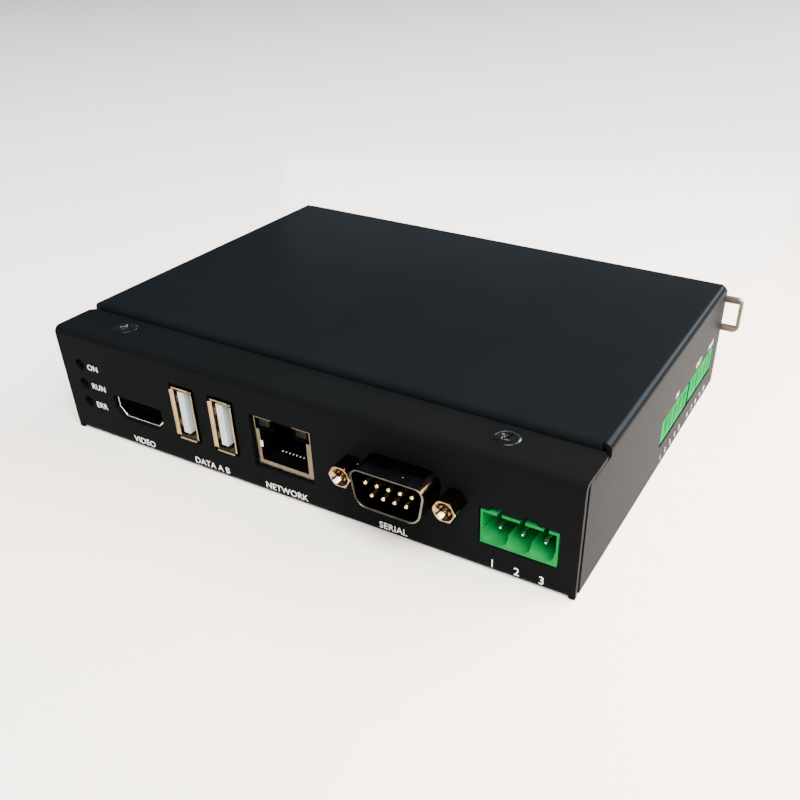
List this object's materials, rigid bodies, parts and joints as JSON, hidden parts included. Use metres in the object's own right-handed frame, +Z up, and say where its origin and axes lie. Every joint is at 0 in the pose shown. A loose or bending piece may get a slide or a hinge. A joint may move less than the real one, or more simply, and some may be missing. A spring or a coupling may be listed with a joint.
{
  "type": "rail-mounted control box",
  "caption": "Flat black folded-sheet control box with data, video, network, serial and terminal sockets, and a sprung clip for a mounting rail.",
  "frame": {"origin": "centre of the case's underside, on the surface it stands on", "axes": "+X towards the side with the signal terminals, +Y towards the rear with the rail clip, +Z up"},
  "size_m": [0.1425, 0.1213, 0.03],
  "materials": {
    "panel_black": "fine textured black powder coat",
    "cover_black": "fine textured black powder coat",
    "screw_black": "black plated steel",
    "fastener_steel": "zinc plated steel",
    "board_green": "glass fibre laminate under solder mask",
    "light_pipe": "clear moulding, unlit",
    "socket_nickel": "bright nickel plated sheet",
    "insert_black": "moulded thermoplastic",
    "insert_white": "moulded thermoplastic",
    "contact_gold": "gold flashed contacts",
    "lamp_green": "tinted clear moulding",
    "lamp_yellow": "tinted clear moulding",
    "terminal_green": "satin moulded thermoplastic",
    "pin_tin": "bright tinned pins",
    "chip_black": "moulded epoxy",
    "sink_aluminium": "plain aluminium",
    "clip_zinc": "zinc plated steel, yellowish"
  },
  "bodies": {
    "case": {"chassis": "panel_black", "cover": "cover_black", "cover_front_screws": "screw_black", "cover_rear_screws": "screw_black", "cover_front_nuts": "fastener_steel", "cover_rear_nuts": "fastener_steel", "main_board": "board_green", "board_standoffs": "fastener_steel", "board_screws": "fastener_steel", "status_leds": "chip_black", "status_light_pipe_1": "light_pipe", "status_light_pipe_2": "light_pipe", "status_light_pipe_3": "light_pipe", "video_port_shell": "socket_nickel", "video_port_tongue": "insert_black", "data_port_a_shell": "socket_nickel", "data_port_a_tongue": "insert_white", "data_port_b_shell": "socket_nickel", "data_port_b_tongue": "insert_white", "network_jack_shield": "socket_nickel", "network_jack_body": "insert_black", "network_jack_contacts": "contact_gold", "network_link_lamp": "lamp_green", "network_traffic_lamp": "lamp_yellow", "serial_shell": "socket_nickel", "serial_insulator": "insert_black", "serial_pins": "contact_gold", "serial_jack_nuts": "socket_nickel", "power_header": "terminal_green", "power_pins": "pin_tin", "io_header_front": "terminal_green", "io_header_rear": "terminal_green", "io_pins_front": "pin_tin", "io_pins_rear": "pin_tin", "processor": "chip_black", "heat_sink": "sink_aluminium", "memory_chips": "chip_black", "battery_holder": "insert_black", "coin_cell": "fastener_steel", "network_transformer": "chip_black", "supply_inductor": "chip_black", "supply_capacitors": "sink_aluminium", "input_isolators": "chip_black", "rail_clip": "clip_zinc", "rail_clip_screws": "fastener_steel", "rail_clip_nuts": "fastener_steel", "latch_spring": "fastener_steel"},
    "latch": {"rail_latch": "clip_zinc"}
  },
  "joints": [
    {"name": "latch_slide", "type": "slide", "parent": "case", "child": "latch", "axis": [1, 0, 0], "range_m": [0, 0.0045], "stiffness_N_per_m": 800, "springref_m": -0.003, "deforming": ["latch_spring"]}
  ]
}
